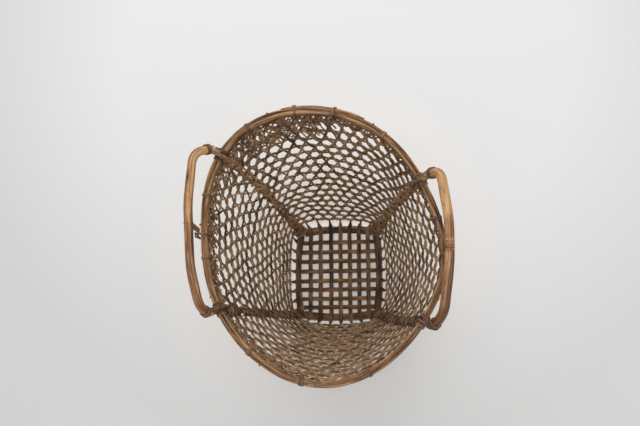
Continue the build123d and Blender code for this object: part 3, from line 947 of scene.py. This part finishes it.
def build_lashing(side, rod, end, a_deg, corner):
    """Rings round the rod's end, turns round the rim on both sides and turns over the tongue."""
    bundle = Bundle(520 + len(side) + len(end))
    rng = np.random.RandomState(int(a_deg))
    place = shoulder(a_deg)
    up = np.array(corner, float) - place
    up /= np.linalg.norm(up)
    u = np.cross(up, (0.3, 0.2, 1.0))
    u /= np.linalg.norm(u)
    v = np.cross(up, u)
    q = np.linspace(0, TAU, 28, endpoint=False)
    r = rod["radius"] + 1.1
    for distance in RING_DISTANCES:
        tilt = rng.uniform(-0.8, 0.8)
        ring = (place + np.outer(np.cos(q) * r, u) + np.outer(np.sin(q) * r, v)
                + np.outer(distance + tilt * np.cos(q + 1), up))
        bundle.sweep(ring, ring - (place + up * distance), 3.4, 1.9, closed=True, tone=rng.uniform(0.0, 0.5))
    for shift in LASHING_SHIFTS:
        cane_turn(bundle, a_deg, -BAND - 0.6, 0.6, HOOP_FOOT, RIM_TOP, shift=shift,
                  lean=rng.uniform(-2, 2), width=3.0, thick=1.4, tone=rng.uniform(0.1, 0.8))
    for shift in TONGUE_SHIFTS:
        cane_turn(bundle, a_deg, -BAND - 1.5, 2.5, HOOP_FOOT + 2, RIM_TOP + 14.5, shift=shift,
                  lean=rng.uniform(-5, 5), width=3.0, thick=1.3, tone=rng.uniform(0.0, 0.9))
    bundle.make(f"lashing_{side}_{end}", CANE, replaces=(f"{side}_handle_lashing_{end}",))


def beside_node(x, y):
    """The rim's edge beside a place, the direction out, how far out the place lies, and its angle."""
    a = math.atan2(y, x)
    base, direction = rim_point(a, 0.0, 0.0)
    return base, direction, float((np.array((x, y, 0)) - base) @ direction), math.degrees(a)


def build_sling(side, rod):
    """A tall turn of cane round the rim, in front of the rod's node."""
    x, y, _ = rod["node"]
    _, _, out, a_deg = beside_node(x, y - SLING_FORWARD)
    bundle = Bundle(540 + len(side))
    for shift in (-1.9, 1.9):
        cane_turn(bundle, a_deg, -BAND, out - 2.0, HOOP_FOOT, RIM_TOP + SLING_HEIGHT, shift=shift,
                  lean=-2 * shift, width=3.8, thick=1.8, tone=0.35 + 0.15 * shift)
    bundle.make(f"sling_{side}", CANE, replaces=(f"{side}_handle_mid_tie",))


def build_strap(side, rod):
    """A short strip that stands on the rim under the rod's node."""
    x, y, z = rod["node"]
    base, direction, out, _ = beside_node(x, y)
    heights = np.linspace(RIM_TOP + 0.5, z - (rod["radius"] + 1.2), 12)
    path = base + direction * (out - 4.0) + np.outer(heights, (0, 0, 1.0))
    bundle = Bundle(560 + len(side))
    bundle.sweep(path, direction, STRAP_WIDTH, STRAP_THICK, section=SQUARED, tone=0.5)
    bundle.make(f"strap_{side}", RIB, replaces=(f"{side}_handle_strap",))


def build_handles():
    tongues = Bundle(499)
    for side, rod in HANDLES.items():
        ends = [POSTS[f"{side}_{end}"][0] for end in ("back", "front")]
        for a_deg in ends:
            lay_tongue(tongues, a_deg)
        build_rod(side, rod, ends)
        build_lashing(side, rod, "back", ends[0], rod["corners"][0])
        build_lashing(side, rod, "front", ends[1], rod["corners"][-1])
        build_sling(side, rod)
        build_strap(side, rod)
    tongues.make("handle_tongues", RIB)


build_base()
build_foot()
build_net()
build_ribs()
build_hoops()
build_lap()
build_ties()
build_handles()

# ---------------------------------------------------------------- camera, floor and light, in metres
LENS, SENSOR = 43.14, 36.0
CAMERA_PLACE = (0.15788, -0.28057, 1.702)
CAMERA_TURN, CAMERA_TILT = -0.1182, 0.2498   # away from straight down, in radians
FLOOR_HALF = 14.0
# painted shade: the floor is painted darker with distance from this centre
PAINTED_FALLOFF_CENTRE = (0.0, 0.55)         # the floor is brightest here and falls off with distance
# painted light: a pool of paler, warmer floor round this centre lifts the basket's shadow
PAINTED_POOL_CENTRE = (-0.043, 0.076)       # round here the floor is paler, as seen through the net

camera = bpy.data.cameras.new("camera")
camera.lens = LENS
camera.sensor_width = SENSOR
eye = bpy.data.objects.new("camera", camera)
bpy.context.scene.collection.objects.link(eye)
forward = Vector((math.sin(CAMERA_TURN), math.sin(CAMERA_TILT), -1)).normalized()
right = forward.cross(Vector((0, 1, 0))).normalized()
facing = Matrix((right, right.cross(forward), -forward)).transposed().to_4x4()
eye.matrix_world = Matrix.Translation(CAMERA_PLACE) @ facing
bpy.context.scene.camera = eye


def floor_paper():
    """Pale paper with painted light: painted shade that darkens it away from the back, and a painted pool of
    paler, warmer light under and round the basket that lifts its shadow.
    """
    paper = bpy.data.materials.new("floor")
    paper.use_nodes = True
    nodes, links = paper.node_tree.nodes, paper.node_tree.links
    shader = nodes["Principled BSDF"]
    shader.inputs["Roughness"].default_value = 0.9
    shader.inputs["Specular IOR Level"].default_value = 0.1
    place = nodes.new("ShaderNodeTexCoord")

    def by_distance(centre, stops):
        apart = nodes.new("ShaderNodeVectorMath")
        apart.operation = "DISTANCE"
        apart.inputs[1].default_value = (*centre, 0)
        links.new(place.outputs["Object"], apart.inputs[0])
        colours = ramp(nodes, stops)
        links.new(apart.outputs["Value"], colours.inputs[0])
        return colours.outputs[0]

    # painted shade that darkens the floor away from the back
    painted_falloff = by_distance(PAINTED_FALLOFF_CENTRE, ((0.55, (0.765, 0.765, 0.765)), (0.92, (0.655, 0.655, 0.652))))
    # painted light: mask of the pool under and round the basket
    painted_pool_mask = by_distance(PAINTED_POOL_CENTRE, ((0.10, (0, 0, 0)), (0.42, (1, 1, 1))))
    blend = nodes.new("ShaderNodeMix")
    blend.data_type = "RGBA"
    # colour of the painted pool of light
    blend.inputs[6].default_value = (0.955, 0.897, 0.83, 1)
    links.new(painted_pool_mask, blend.inputs[0])
    links.new(painted_falloff, blend.inputs[7])
    links.new(blend.outputs[2], shader.inputs["Base Color"])
    return paper


def area_light(name, place, aim, size, power):
    data = bpy.data.lights.new(name, "AREA")
    data.shape = "RECTANGLE"
    data.size, data.size_y = size
    data.energy = power
    lamp = bpy.data.objects.new(name, data)
    lamp.location = place
    lamp.rotation_euler = (Vector(aim) - Vector(place)).to_track_quat("-Z", "Y").to_euler()
    bpy.context.scene.collection.objects.link(lamp)


floor_mesh = bpy.data.meshes.new("floor")
floor_corners = [(x * FLOOR_HALF, y * FLOOR_HALF, 0) for x, y in ((-1, -1), (1, -1), (1, 1), (-1, 1))]
floor_mesh.from_pydata(floor_corners, [], [(0, 1, 2, 3)])
floor_mesh.materials.append(floor_paper())
floor = bpy.data.objects.new("floor", floor_mesh)
bpy.context.scene.collection.objects.link(floor)

area_light("key", (-0.5, 2.5, 1.5), (0, 0, 0.2), (2.4, 1.6), 27)
area_light("top", (0.3, -0.3, 3.2), (0, 0, 0), (2.0, 2.0), 36)
area_light("side", (2.4, 0.2, 1.4), (0, 0, 0.2), (1.4, 1.4), 3)

world = bpy.data.worlds.new("world")
world.use_nodes = True
background = world.node_tree.nodes["Background"]
background.inputs[0].default_value = (1, 1, 1, 1)
background.inputs[1].default_value = 0.60
bpy.context.scene.world = world
bpy.context.scene.view_settings.view_transform = "Standard"
